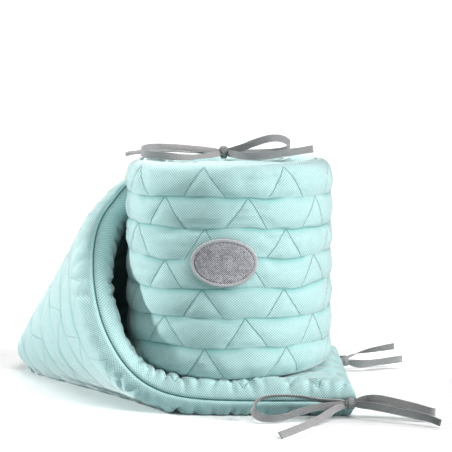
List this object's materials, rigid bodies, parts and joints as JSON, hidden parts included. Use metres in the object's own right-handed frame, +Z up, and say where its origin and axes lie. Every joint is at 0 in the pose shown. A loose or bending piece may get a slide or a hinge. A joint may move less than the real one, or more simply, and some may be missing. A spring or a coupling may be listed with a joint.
{
  "type": "quilted crib bumper",
  "caption": "Quilted padded cloth bumper for a crib, wound into an upright roll on its own flat free end, with cloth ties and a sewn patch.",
  "frame": {"origin": "on the floor, 9.5 mm to the right of the upright roll's axis and 26.5 mm behind it", "axes": "+Z up, +X towards the flat free end, -Y towards the front of the roll, where the patch is"},
  "size_m": [0.5962, 0.4386, 0.3691],
  "materials": {
    "mint_cover": "soft pale mint velvety cloth with a fine dotted weave, quilted in rows of triangles",
    "grey_tie": "matt grey cloth tape",
    "mauve_patch": "grey-mauve melange cloth with a stitched border"
  },
  "bodies": {
    "root": {"bumper_band": "mint_cover", "sewn_patch": "mauve_patch", "top_tie": "grey_tie", "front_corner_tie": "grey_tie", "back_corner_tie": "grey_tie"}
  },
  "joints": []
}
